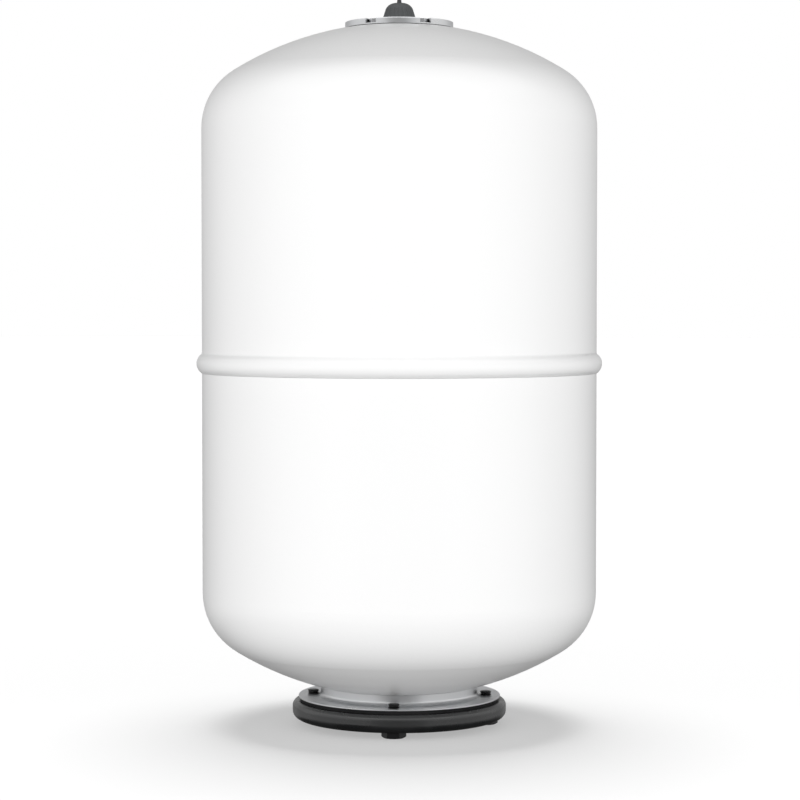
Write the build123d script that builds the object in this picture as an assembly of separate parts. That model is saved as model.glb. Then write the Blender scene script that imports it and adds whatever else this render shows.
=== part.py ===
from build123d import *
import math
import os

# Expansion vessel with a replaceable rubber bladder, standing on the four bolts of its lower flange.
# Millimetres, +Z up. The origin is on the vessel's axis, in the plane of the four bolt heads.

# Steel body: two deep-drawn halves with torispherical heads, lap-joined at a swaged waist bead.
body_diameter = 280.0
straight_length = 328.5
crown_radius = 222.0
knuckle_radius = 47.0
shell_wall = 1.5
waist_above_lower_head = 162.5
bead_height = 14.0
bead_projection = 3.9
bead_blend = 2.0
lap_length = 5.0
weld_leg = 2.2

# Lower neck ring: a welded collar with a thin plated bolting plate.
neck_diameter = 112.0
neck_bore = 92.0
neck_plate_diameter = 143.8
neck_plate_thickness = 1.2
neck_blend = 3.0
neck_inside_height = 3.0
head_above_plate = 0.2
plate_edge_break = 0.4

# Lower bolts: flange-head, size M8 by 16.
flange_bolt_count = 4
flange_bolt_circle = 123.4
bolt_diameter = 8.0
bolt_length = 16.0
bolt_head_height = 7.6
bolt_head_across_flats = 15.0
bolt_head_flange_diameter = 17.9
bolt_head_flange_thickness = 1.6
bolt_tip_chamfer = 1.0
bolt_hole_clearance = 0.5
thread_collar_wall = 1.7
thread_collar_length = 3.2
thread_collar_clearance = 0.5

# Counter flange: a moulded black cover with a rounded rim, radial ribs and bolt seats.
counter_flange_diameter = 152.4
counter_flange_seat_thickness = 9.8
counter_flange_web = 6.0
counter_rim_height = 12.9
counter_rim_width = 7.0
counter_rim_top_round = 4.0
counter_rim_bottom_round = 5.6
counter_hub_diameter = 48.0
counter_hub_floor_gap = 1.2
counter_seat_diameter = 21.0
counter_rib_count = 12
counter_rib_width = 3.0
counter_rib_depth = 4.0

# Water connection: a female G 3/4 brass bush moulded into the counter flange.
connection_thread_diameter = 24.1
connection_mouth_chamfer = 1.0
connection_bush_diameter = 33.0
connection_port_diameter = 19.0
connection_hex_across_flats = 38.0
connection_hex_height = 3.0
connection_hex_below_top = 6.0

# Outlet grid: a perforated plug that keeps the bladder out of the port.
grid_diameter = 28.0
grid_thickness = 2.5
grid_skirt_wall = 1.5
grid_skirt_length = 1.8
grid_hole_diameter = 4.2
grid_hole_circle = 10.4
grid_hole_count = 6

# Bladder: a rubber bag with a lip and sealing bead clamped between the neck plate and the counter flange.
bladder_wall = 2.0
bladder_lip_thickness = 2.2
bladder_lip_inset = 1.3
bladder_bead_radius = 51.5
bladder_bead_width = 3.0
bladder_bead_depth = 2.2
bladder_neck_clearance = 0.4
bladder_diameter = 210.0
bladder_top_gap = 58.0
bladder_bottom_gap = 16.0
bladder_neck_blend = 12.0

# Upper neck ring, its gasket and the notched valve flange.
upper_neck_diameter = 75.0
upper_neck_bore = 48.0
upper_neck_height = 8.0
upper_neck_below_head = 0.6
valve_gasket_thickness = 0.8
valve_gasket_margin = 0.6
valve_flange_diameter = 76.8
valve_flange_thickness = 4.2
valve_flange_edge_break = 0.5
valve_flange_turn = 2.0
flange_screw_count = 6
flange_screw_circle = 65.4
flange_screw_diameter = 4.0
flange_screw_length = 9.0
flange_screw_head_height = 3.2
flange_screw_across_flats = 7.0
flange_screw_clearance = 0.25
notch_width = 8.6
notch_floor = 0.8

# Air valve: a brass stem through the valve flange, held by a washer and nut, with a screwed-in core.
stem_diameter = 7.7
stem_height = 9.7
stem_hole_clearance = 0.4
stem_head_diameter = 18.0
stem_head_thickness = 2.0
stem_hub_diameter = 9.0
stem_hub_length = 3.0
stem_seal_thickness = 1.0
stem_washer_diameter = 16.0
stem_washer_thickness = 0.8
stem_nut_across_flats = 14.0
stem_nut_height = 4.0
core_bore_diameter = 4.6
core_thread_diameter = 5.2
core_plug_length = 4.0
core_plug_recess = 1.1
core_barrel_diameter = 3.8
core_barrel_length = 11.8
core_barrel_bore = 2.9
core_seat_bore = 1.9
core_seat_thickness = 0.6
core_seal_length = 1.4
core_seal_below_plug = 3.2
pin_diameter = 1.0
pin_below_stem_top = 0.5
pin_plate_diameter = 3.4
pin_plate_thickness = 1.0
pin_collar_diameter = 2.3
pin_collar_thickness = 0.6
pin_collar_below_plug = 1.8
pin_seal_thickness = 0.6
spring_mean_diameter = 2.0
spring_wire_diameter = 0.26
spring_turns = 9

# Valve cap: a fluted plastic dome with a socket for the stem, a rubber disc inside and a slim tab on top.
cap_base_diameter = 25.2
cap_shoulder_diameter = 19.4
cap_shoulder_height = 9.4
cap_height = 13.8
cap_crown_diameter = 6.8
cap_crown_bulge = 0.75
cap_wall = 1.5
cap_nut_clearance = 0.45
cap_socket_clearance = 0.35
cap_socket_wall = 1.2
cap_socket_nut_gap = 0.6
cap_seal_thickness = 1.3
cap_flute_count = 20
cap_flute_radius = 1.1
cap_flute_depth = 0.3
cap_flute_foot = 1.6
cap_tab_height = 5.0
cap_tab_base_diameter = 3.4
cap_tab_tip_diameter = 2.3

# Levels and radii that follow from the sizes above.
body_radius = body_diameter / 2
knuckle_offset = body_radius - knuckle_radius
head_height = crown_radius - math.sqrt((crown_radius - knuckle_radius) ** 2 - knuckle_offset**2)
counter_flange_top = bolt_head_height + counter_flange_seat_thickness
neck_plate_bottom = counter_flange_top + bladder_lip_thickness
neck_plate_top = neck_plate_bottom + neck_plate_thickness
lower_apex = neck_plate_top + head_above_plate
lower_tangent = lower_apex + head_height
upper_tangent = lower_tangent + straight_length
upper_apex = upper_tangent + head_height
waist_level = lower_tangent + waist_above_lower_head
bead_arc_radius = ((bead_height / 2) ** 2 + bead_projection**2) / (2 * bead_projection)
bead_centre_radius = body_radius + bead_projection - bead_arc_radius
bead_inner_arc = bead_arc_radius - shell_wall
lap_edge = waist_level - math.sqrt(bead_inner_arc**2 - (body_radius - bead_centre_radius) ** 2)
counter_web_bottom = counter_flange_top - counter_flange_web
counter_rim_bottom = counter_flange_top - counter_rim_height
connection_thread_length = counter_flange_top - counter_hub_floor_gap - grid_skirt_length


def outer_crown_level(radius, inset):
    """Height of the upper head's crown at a radius, on a surface inset from the outside by a distance."""
    return upper_apex - crown_radius + math.sqrt((crown_radius - inset) ** 2 - radius**2)


neck_corner = lower_apex + upper_apex - outer_crown_level(neck_diameter / 2, shell_wall)
neck_top = neck_corner + neck_inside_height
upper_neck_corner = outer_crown_level(upper_neck_diameter / 2, shell_wall)
upper_neck_top = outer_crown_level(upper_neck_diameter / 2, 0) - upper_neck_below_head
valve_flange_bottom = upper_neck_top + valve_gasket_thickness
valve_flange_top = valve_flange_bottom + valve_flange_thickness
notch_level = valve_flange_bottom + notch_floor
stem_head_top = valve_flange_bottom - stem_seal_thickness
stem_head_bottom = stem_head_top - stem_head_thickness
stem_bottom = stem_head_bottom - stem_hub_length
stem_top = valve_flange_top + stem_height
nut_bottom = valve_flange_top + stem_washer_thickness
nut_top = nut_bottom + stem_nut_height
core_plug_top = stem_top - core_plug_recess
core_plug_bottom = core_plug_top - core_plug_length
core_seat_level = core_plug_bottom - core_barrel_length
pin_collar_top = core_plug_bottom - pin_collar_below_plug
pin_collar_bottom = pin_collar_top - pin_collar_thickness
spring_bottom = core_seat_level + core_seat_thickness


def section_box(inner_radius, outer_radius, low, high):
    """Rectangle in the half-section plane, where x is the radius and y is the height."""
    centre = Pos((inner_radius + outer_radius) / 2, (low + high) / 2)
    return centre * Rectangle(outer_radius - inner_radius, high - low)


def turned(section):
    """Solid of revolution about the vessel's axis."""
    return revolve(Plane.XZ * section, Axis.Z)


def ring(inner_radius, outer_radius, low, high):
    """Plain ring about the vessel's axis."""
    return turned(section_box(inner_radius, outer_radius, low, high))


def rod(radius, low, high):
    """Plain round bar along the vessel's axis."""
    return Pos(0, 0, (low + high) / 2) * Cylinder(radius, high - low)


def hexagon(across_flats, low, high):
    """Hexagonal prism along the vessel's axis."""
    return extrude(Pos(0, 0, low) * RegularPolygon(across_flats / 2, 6, major_radius=False), high - low)


def rounded(section, corner, radius):
    """The section with its corner nearest to a point rounded."""
    vertex = section.vertices().sort_by_distance((corner[0], corner[1], 0))[0]
    return fillet(vertex, radius)


def flange_bolt_places():
    """Centres of the lower bolts, one of them facing the front."""
    return PolarLocations(flange_bolt_circle / 2, flange_bolt_count)


def flange_screw_places():
    """Centres of the valve flange's screws, each in a notch of the rim."""
    return PolarLocations(flange_screw_circle / 2, flange_screw_count, valve_flange_turn)


def head_section(inset, tangent, up, end):
    """Filled half-section of a torispherical head and its straight side, inset from the outside."""
    radius = body_radius - inset
    crown = crown_radius - inset
    knuckle = knuckle_radius - inset
    crown_centre = tangent + up * (head_height - crown_radius)
    spread = math.asin(knuckle_offset / (crown_radius - knuckle_radius))
    bend = (math.pi / 2 - spread) / 2
    apex = (0, crown_centre + up * crown)
    crown_middle = (crown * math.sin(spread / 2), crown_centre + up * crown * math.cos(spread / 2))
    junction = (crown * math.sin(spread), crown_centre + up * crown * math.cos(spread))
    knuckle_middle = (knuckle_offset + knuckle * math.cos(bend), tangent + up * knuckle * math.sin(bend))
    outline = ThreePointArc(apex, crown_middle, junction)
    outline += ThreePointArc(junction, knuckle_middle, (radius, tangent))
    outline += Polyline((radius, tangent), (radius, end), (0, end), apex)
    return make_face(outline)


def bead_disc(radius):
    """Round section that the waist bead is part of."""
    return Pos(bead_centre_radius, waist_level) * Circle(radius)


def make_upper_shell():
    """Upper half: its mouth is swaged out into the bead and laps over the lower half."""
    outside = head_section(0, upper_tangent, 1, waist_level - bead_height) + bead_disc(bead_arc_radius)
    outside = rounded(outside, (body_radius, waist_level + bead_height / 2), bead_blend)
    inside = head_section(shell_wall, upper_tangent, 1, waist_level - 2 * bead_height)
    opening = section_box(0, upper_neck_diameter / 2, upper_tangent, upper_apex + shell_wall)
    below_lap = section_box(0, body_diameter, waist_level - 2 * bead_height, lap_edge)
    return turned(outside - inside - bead_disc(bead_inner_arc) - opening - below_lap)


def make_lower_shell():
    """Lower half: its plain mouth ends inside the bead."""
    rim = waist_level + lap_length
    outside = head_section(0, lower_tangent, -1, rim)
    inside = head_section(shell_wall, lower_tangent, -1, rim + shell_wall)
    opening = section_box(0, neck_diameter / 2, lower_apex - shell_wall, lower_tangent)
    return turned(outside - inside - opening)


def make_waist_weld():
    """Weld run that fills the bead's lower edge against the lower half."""
    run = section_box(body_radius, body_radius + bead_projection, waist_level - bead_height, lap_edge)
    return turned(bead_disc(bead_arc_radius) & run)


def make_lower_neck_weld():
    """Fillet weld between the neck ring and the inside of the lower head."""
    run = Pos(neck_diameter / 2, neck_corner) * Circle(weld_leg)
    inside = head_section(shell_wall, lower_tangent, -1, waist_level)
    return turned((run & inside) - section_box(0, neck_diameter / 2, lower_apex, waist_level))


def make_upper_neck_weld():
    """Fillet weld between the upper neck ring and the inside of the upper head."""
    run = Pos(upper_neck_diameter / 2, upper_neck_corner) * Circle(weld_leg)
    inside = head_section(shell_wall, upper_tangent, 1, waist_level)
    return turned((run & inside) - section_box(0, upper_neck_diameter / 2, waist_level, upper_apex))


def make_lower_neck_ring():
    """Plated collar and bolting plate, with a drawn and tapped collar under each bolt hole."""
    plate_radius = neck_plate_diameter / 2
    section = section_box(neck_bore / 2, neck_diameter / 2, neck_plate_bottom, neck_top)
    section += section_box(neck_bore / 2, plate_radius, neck_plate_bottom, neck_plate_top)
    section = rounded(section, (neck_diameter / 2, neck_plate_top), neck_blend)
    section = rounded(section, (plate_radius, neck_plate_top), plate_edge_break)
    section = rounded(section, (plate_radius, neck_plate_bottom), plate_edge_break)
    solid = turned(section)
    collar_radius = bolt_diameter / 2 + thread_collar_wall
    for place in flange_bolt_places():
        solid += place * rod(collar_radius, neck_plate_bottom - thread_collar_length, neck_plate_top)
    for place in flange_bolt_places():
        solid -= place * rod(bolt_diameter / 2, 0, neck_top)
    return solid


def make_bladder():
    """Rubber bag hanging in the vessel, open at the neck, with its lip turned out under the plate."""
    neck_radius = neck_bore / 2 - bladder_neck_clearance
    bag_radius = bladder_diameter / 2
    bag_low = neck_corner + bladder_bottom_gap + bag_radius
    bag_high = upper_apex - bladder_top_gap - bag_radius

    def filled(inset):
        section = section_box(0, neck_radius - inset, counter_flange_top, bag_low)
        section += Pos(0, bag_low) * Circle(bag_radius - inset)
        section += Pos(0, bag_high) * Circle(bag_radius - inset)
        section += section_box(0, bag_radius - inset, bag_low, bag_high)
        section &= section_box(0, bag_radius, counter_flange_top, bag_high + bag_radius)
        corner = bag_low - math.sqrt((bag_radius - inset) ** 2 - (neck_radius - inset) ** 2)
        return rounded(section, (neck_radius - inset, corner), bladder_neck_blend + inset)

    lip_outer = neck_plate_diameter / 2 - bladder_lip_inset
    section = filled(0) - filled(bladder_wall)
    section += section_box(neck_radius - bladder_wall, lip_outer, counter_flange_top, neck_plate_bottom)
    bead_inner = bladder_bead_radius - bladder_bead_width / 2
    bead_outer = bladder_bead_radius + bladder_bead_width / 2
    section += section_box(bead_inner, bead_outer, counter_flange_top - bladder_bead_depth, neck_plate_bottom)
    bag = turned(section)
    collar_radius = bolt_diameter / 2 + thread_collar_wall + thread_collar_clearance
    for place in flange_bolt_places():
        bag -= place * rod(collar_radius, counter_flange_top, neck_plate_top)
    return bag


def make_connection_blank():
    """Outside shape of the water connection's bush, with the hexagon that stops it turning."""
    blank = rod(connection_bush_diameter / 2, counter_hub_floor_gap, counter_flange_top)
    hex_top = counter_flange_top - connection_hex_below_top
    return blank + hexagon(connection_hex_across_flats, hex_top - connection_hex_height, hex_top)


def make_water_connection():
    """Brass bush with the female thread, open to the port above it."""
    mouth = counter_hub_floor_gap
    thread_radius = connection_thread_diameter / 2
    cut = section_box(0, thread_radius, mouth, mouth + connection_thread_length)
    cut += section_box(0, connection_port_diameter / 2, mouth, counter_flange_top)
    lead_in = Polyline(
        (0, mouth),
        (thread_radius + connection_mouth_chamfer, mouth),
        (thread_radius, mouth + connection_mouth_chamfer),
        (0, mouth + connection_mouth_chamfer),
        close=True,
    )
    return make_connection_blank() - turned(cut + make_face(lead_in))


def make_counter_flange():
    """Moulded flange: rounded rim, web, hub, ribs and four bolt seats, with a groove for the bladder bead."""
    rim_radius = counter_flange_diameter / 2
    hub_radius = counter_hub_diameter / 2
    section = section_box(0, rim_radius, counter_web_bottom, counter_flange_top)
    section += section_box(rim_radius - counter_rim_width, rim_radius, counter_rim_bottom, counter_flange_top)
    section += section_box(0, hub_radius, counter_hub_floor_gap, counter_flange_top)
    section = rounded(section, (rim_radius, counter_flange_top), counter_rim_top_round)
    section = rounded(section, (rim_radius, counter_rim_bottom), counter_rim_bottom_round)
    groove_inner = bladder_bead_radius - bladder_bead_width / 2
    groove_outer = bladder_bead_radius + bladder_bead_width / 2
    section -= section_box(groove_inner, groove_outer, counter_flange_top - bladder_bead_depth, neck_plate_top)
    solid = turned(section)
    rib_length = rim_radius - counter_rim_width - hub_radius + 2 * counter_rib_width
    rib_place = Pos((rim_radius - counter_rim_width + hub_radius) / 2, 0, counter_web_bottom)
    rib = rib_place * Box(rib_length, counter_rib_width, 2 * counter_rib_depth)
    rib &= ring(hub_radius, rim_radius - counter_rim_width, 0, counter_web_bottom)
    for index in range(counter_rib_count):
        solid += Rot(0, 0, (index + 0.5) * 360 / counter_rib_count) * rib
    for place in flange_bolt_places():
        solid += place * rod(counter_seat_diameter / 2, bolt_head_height, counter_web_bottom)
    collar_radius = bolt_diameter / 2 + thread_collar_wall + thread_collar_clearance
    collar_floor = neck_plate_bottom - thread_collar_length - thread_collar_clearance
    for place in flange_bolt_places():
        solid -= place * rod(bolt_diameter / 2 + bolt_hole_clearance, 0, neck_plate_top)
        solid -= place * rod(collar_radius, collar_floor, neck_plate_top)
    for place in flange_bolt_places():
        solid -= place * rod(counter_seat_diameter / 2, 0, bolt_head_height)
    opening = make_connection_blank() + rod(connection_port_diameter / 2, counter_flange_top, neck_plate_top)
    return solid - opening


def make_outlet_grid():
    """Perforated plug on the port, with a short skirt in it."""
    skirt_radius = connection_port_diameter / 2
    grid = rod(grid_diameter / 2, counter_flange_top, counter_flange_top + grid_thickness)
    grid = fillet(grid.edges().group_by(Axis.Z)[-1], grid_thickness / 2)
    skirt_low = counter_flange_top - grid_skirt_length
    grid += ring(skirt_radius - grid_skirt_wall, skirt_radius, skirt_low, counter_flange_top)
    hole = rod(grid_hole_diameter / 2, skirt_low, counter_flange_top + 2 * grid_thickness)
    grid -= hole
    for place in PolarLocations(grid_hole_circle / 2, grid_hole_count):
        grid -= place * hole
    return grid


def make_flange_bolt():
    """One flange-head bolt, head down, on the vessel's axis."""
    shank = rod(bolt_diameter / 2, bolt_head_height, bolt_head_height + bolt_length)
    shank = chamfer(shank.edges().group_by(Axis.Z)[-1], bolt_tip_chamfer)
    head = hexagon(bolt_head_across_flats, 0, bolt_head_height)
    flats_radius = bolt_head_across_flats / 2
    corner_radius = flats_radius / math.cos(math.pi / 6)
    barrel = rod(corner_radius, 0, bolt_head_height)
    head &= chamfer(barrel.edges().group_by(Axis.Z)[0], corner_radius - flats_radius)
    skirt_low = bolt_head_height - bolt_head_flange_thickness
    skirt = rod(bolt_head_flange_diameter / 2, skirt_low, bolt_head_height)
    cone_rise = bolt_head_flange_diameter / 2 - flats_radius
    cone = Pos(0, 0, skirt_low - cone_rise / 4) * Cone(flats_radius, bolt_head_flange_diameter / 2, cone_rise / 2)
    return shank + head + skirt + cone


def make_upper_neck_ring():
    """Ring welded into the upper head, tapped for the six screws."""
    section = section_box(
        upper_neck_bore / 2, upper_neck_diameter / 2, upper_neck_top - upper_neck_height, upper_neck_top
    )
    solid = turned(section)
    for place in flange_screw_places():
        solid -= place * rod(flange_screw_diameter / 2, waist_level, upper_apex)
    return solid


def make_valve_gasket():
    """Flat rubber gasket under the valve flange."""
    gasket = ring(
        upper_neck_bore / 2, upper_neck_diameter / 2 - valve_gasket_margin, upper_neck_top, valve_flange_bottom
    )
    for place in flange_screw_places():
        gasket -= place * rod(flange_screw_diameter / 2 + flange_screw_clearance, waist_level, valve_flange_top)
    return gasket


def make_valve_flange():
    """Plated disc with an open notch in its rim for each screw."""
    flange_radius = valve_flange_diameter / 2
    section = section_box(0, flange_radius, valve_flange_bottom, valve_flange_top)
    section = rounded(section, (flange_radius, valve_flange_top), valve_flange_edge_break)
    solid = turned(section)
    solid -= rod(stem_diameter / 2 + stem_hole_clearance, valve_flange_bottom, valve_flange_top)
    notch = rod(notch_width / 2, notch_level, stem_top)
    notch += Pos(flange_screw_circle / 4, 0, (notch_level + stem_top) / 2) * Box(
        flange_screw_circle / 2, notch_width, stem_top - notch_level
    )
    hole = rod(flange_screw_diameter / 2 + flange_screw_clearance, valve_flange_bottom, valve_flange_top)
    for place in flange_screw_places():
        solid -= place * notch
        solid -= place * hole
    return solid


def make_flange_screw():
    """One hexagon screw of the valve flange, on the vessel's axis."""
    shank = rod(flange_screw_diameter / 2, notch_level - flange_screw_length, notch_level)
    head_top = notch_level + flange_screw_head_height
    flats_radius = flange_screw_across_flats / 2
    corner_radius = flats_radius / math.cos(math.pi / 6)
    head = hexagon(flange_screw_across_flats, notch_level, head_top)
    barrel = rod(corner_radius, notch_level, head_top)
    head &= chamfer(barrel.edges().group_by(Axis.Z)[-1], (corner_radius - flats_radius) / 2)
    return shank + head


def make_valve_stem():
    """Brass stem with a round head inside the vessel and a bore for the core."""
    section = section_box(0, stem_diameter / 2, stem_bottom, stem_top)
    section += section_box(0, stem_head_diameter / 2, stem_head_bottom, stem_head_top)
    section += section_box(0, stem_hub_diameter / 2, stem_bottom, stem_head_top)
    section -= section_box(0, core_bore_diameter / 2, stem_bottom, stem_top)
    section -= section_box(0, core_thread_diameter / 2, core_plug_bottom, stem_top)
    return turned(section)


def make_stem_nut():
    """Hexagon nut that pulls the stem against the valve flange."""
    return hexagon(stem_nut_across_flats, nut_bottom, nut_top) - rod(stem_diameter / 2, nut_bottom, nut_top)


def make_core_body():
    """Screwed plug and barrel of the valve core, slotted across the top for its key."""
    plug_radius = core_thread_diameter / 2
    section = section_box(core_barrel_bore / 2, plug_radius, core_plug_bottom, core_plug_top)
    section += section_box(core_barrel_bore / 2, core_barrel_diameter / 2, core_seat_level, core_plug_top)
    section += section_box(core_seat_bore / 2, core_barrel_diameter / 2, core_seat_level, spring_bottom)
    slot_place = Pos(0, 0, core_plug_top)
    slot = slot_place * Box(2 * plug_radius, pin_diameter, core_plug_length / 2)
    return turned(section) - slot


def make_core_seal():
    """Ring that seals the core's barrel in the stem's bore."""
    seal_top = core_plug_bottom - core_seal_below_plug
    return ring(core_barrel_diameter / 2, core_bore_diameter / 2, seal_top - core_seal_length, seal_top)


def make_valve_pin():
    """Pin with a collar for the spring and a plate that carries the seal."""
    plate_top = core_seat_level - pin_seal_thickness
    pin = rod(pin_diameter / 2, plate_top - pin_plate_thickness, stem_top - pin_below_stem_top)
    pin = chamfer(pin.edges().group_by(Axis.Z)[-1], pin_diameter / 5)
    pin += rod(pin_plate_diameter / 2, plate_top - pin_plate_thickness, plate_top)
    return pin + rod(pin_collar_diameter / 2, pin_collar_bottom, pin_collar_top)


def make_pin_seal():
    """Rubber washer on the pin's plate that closes the barrel's mouth."""
    return ring(pin_diameter / 2, pin_plate_diameter / 2, core_seat_level - pin_seal_thickness, core_seat_level)


def make_core_spring():
    """Spring between the barrel's seat and the pin's collar."""
    wire = spring_wire_diameter / 2
    height = pin_collar_bottom - spring_bottom - 2 * wire
    coil = Helix(height / spring_turns, height, spring_mean_diameter / 2, center=(0, 0, spring_bottom + wire))
    return sweep(Plane(origin=coil @ 0, z_dir=coil % 0) * Circle(wire), path=coil)


def make_cap_shape():
    """Outside of the valve cap: fluted cone, rounded shoulder and a slim tab on top."""
    base = valve_flange_top
    base_radius = cap_base_diameter / 2
    shoulder_radius = cap_shoulder_diameter / 2
    shoulder = (shoulder_radius, base + cap_shoulder_height)
    crown = (cap_crown_diameter / 2, base + cap_height)
    half_way = ((shoulder[0] + crown[0]) / 2 + cap_crown_bulge, (shoulder[1] + crown[1]) / 2 + cap_crown_bulge)
    outline = ThreePointArc(shoulder, half_way, crown)
    outline += Polyline(crown, (0, crown[1]), (0, base), (base_radius, base), shoulder)
    shape = turned(make_face(outline))
    lean = math.atan((base_radius - shoulder_radius) / cap_shoulder_height)
    outset = cap_flute_radius - cap_flute_depth
    flute_length = 2 * cap_shoulder_height
    foot_radius = base_radius - cap_flute_foot * math.tan(lean)
    flute = Rot(0, math.degrees(-lean), 0) * Pos(outset, 0, flute_length / 2) * Cylinder(cap_flute_radius, flute_length)
    flute = Pos(foot_radius, 0, base + cap_flute_foot) * flute
    for index in range(cap_flute_count):
        shape -= Rot(0, 0, index * 360 / cap_flute_count) * flute
    tab_place = Pos(0, 0, crown[1] + cap_tab_height / 2)
    tab = tab_place * Cone(cap_tab_base_diameter / 2, cap_tab_tip_diameter / 2, cap_tab_height)
    return shape + tab


def make_valve_cap():
    """Cap with a hollow that clears the nut and a socket round the stem."""
    base = valve_flange_top
    nut_corner = stem_nut_across_flats / 2 / math.cos(math.pi / 6)
    hollow_radius = nut_corner + cap_nut_clearance
    socket_radius = stem_diameter / 2 + cap_socket_clearance
    socket_low = nut_top + cap_socket_nut_gap
    hollow_top = base + cap_shoulder_height - cap_wall / 2
    hollow = rod(hollow_radius, base, hollow_top)
    hollow -= ring(socket_radius, socket_radius + cap_socket_wall, socket_low, hollow_top)
    hollow += rod(socket_radius, base, stem_top + cap_seal_thickness)
    return make_cap_shape() - hollow


def make_cap_seal():
    """Rubber disc in the end of the socket, resting on the stem."""
    return rod(stem_diameter / 2 + cap_socket_clearance, stem_top, stem_top + cap_seal_thickness)


def save(name, *solids):
    """Write one node's solids to its own file."""
    shape = solids[0] if len(solids) == 1 else Compound(children=list(solids))
    export_step(shape, f"parts/{name}.step")


os.makedirs("parts", exist_ok=True)
save("upper_shell", make_upper_shell())
save("lower_shell", make_lower_shell())
save("waist_weld", make_waist_weld())
save("lower_neck_ring", make_lower_neck_ring())
save("lower_neck_weld", make_lower_neck_weld())
save("bladder", make_bladder())
save("counter_flange", make_counter_flange())
save("water_connection", make_water_connection())
save("outlet_grid", make_outlet_grid())
save("flange_bolts", *[place * make_flange_bolt() for place in flange_bolt_places()])
save("upper_neck_ring", make_upper_neck_ring())
save("upper_neck_weld", make_upper_neck_weld())
save("valve_flange_gasket", make_valve_gasket())
save("valve_flange", make_valve_flange())
save("valve_flange_screws", *[place * make_flange_screw() for place in flange_screw_places()])
save("valve_stem", make_valve_stem())
save("valve_stem_seal", ring(stem_diameter / 2, stem_head_diameter / 2, stem_head_top, valve_flange_bottom))
save("valve_stem_washer", ring(stem_diameter / 2, stem_washer_diameter / 2, valve_flange_top, nut_bottom))
save("valve_stem_nut", make_stem_nut())
save("valve_core_body", make_core_body())
save("valve_core_seal", make_core_seal())
save("valve_core_spring", make_core_spring())
save("valve_pin", make_valve_pin())
save("valve_pin_seal", make_pin_seal())
save("valve_cap", make_valve_cap())
save("valve_cap_seal", make_cap_seal())
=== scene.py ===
import math

import bpy
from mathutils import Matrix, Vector


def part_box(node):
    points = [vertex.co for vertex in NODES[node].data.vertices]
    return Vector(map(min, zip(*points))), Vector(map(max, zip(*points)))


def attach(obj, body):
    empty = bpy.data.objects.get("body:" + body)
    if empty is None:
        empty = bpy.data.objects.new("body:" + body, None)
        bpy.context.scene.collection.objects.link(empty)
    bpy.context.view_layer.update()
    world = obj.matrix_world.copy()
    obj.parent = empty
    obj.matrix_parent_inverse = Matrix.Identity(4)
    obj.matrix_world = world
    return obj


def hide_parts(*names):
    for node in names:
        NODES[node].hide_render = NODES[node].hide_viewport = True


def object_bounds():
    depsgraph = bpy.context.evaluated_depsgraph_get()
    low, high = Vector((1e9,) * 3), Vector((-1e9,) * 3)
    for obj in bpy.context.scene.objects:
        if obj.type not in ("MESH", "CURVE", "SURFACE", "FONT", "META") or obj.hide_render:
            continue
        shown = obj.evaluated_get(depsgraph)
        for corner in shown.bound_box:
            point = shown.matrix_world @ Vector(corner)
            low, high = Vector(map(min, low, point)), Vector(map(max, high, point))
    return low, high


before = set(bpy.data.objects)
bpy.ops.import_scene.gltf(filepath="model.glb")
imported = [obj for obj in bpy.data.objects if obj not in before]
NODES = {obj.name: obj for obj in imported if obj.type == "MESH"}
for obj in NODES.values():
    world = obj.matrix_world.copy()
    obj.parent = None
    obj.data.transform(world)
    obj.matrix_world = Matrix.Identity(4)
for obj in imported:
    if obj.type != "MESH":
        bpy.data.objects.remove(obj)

bl_info = {
    "name": "Expansion vessel",
    "version": (1, 0, 0),
    "blender": (4, 5, 0),
    "location": "View3D > Sidebar > Vessel",
    "description": "Finishes and fine detail for a bolted expansion vessel and its studio",
    "category": "Object",
}

CAD_LOW, CAD_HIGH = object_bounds()
MM = 0.001


# ------------------------------------------------ sizes and colours a user would change


def length(name, description, default):
    """A size property in metres."""
    return bpy.props.FloatProperty(
        name=name, description=description, default=default, unit="LENGTH", precision=5
    )


def factor(name, description, default):
    """A plain share between nothing and all."""
    return bpy.props.FloatProperty(
        name=name, description=description, default=default, min=0, max=1, subtype="FACTOR"
    )


def colour(name, description, default):
    """A colour property."""
    return bpy.props.FloatVectorProperty(
        name=name, description=description, default=default, size=3, min=0, max=1, subtype="COLOR"
    )


def bearing(name, description, degrees):
    """An angle property, given in degrees."""
    return bpy.props.FloatProperty(
        name=name, description=description, default=math.radians(degrees), subtype="ANGLE"
    )


def amount(name, description, default, least=0):
    """A plain number with a lower limit, such as the brightness of a light."""
    return bpy.props.FloatProperty(name=name, description=description, default=default, min=least)


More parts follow.
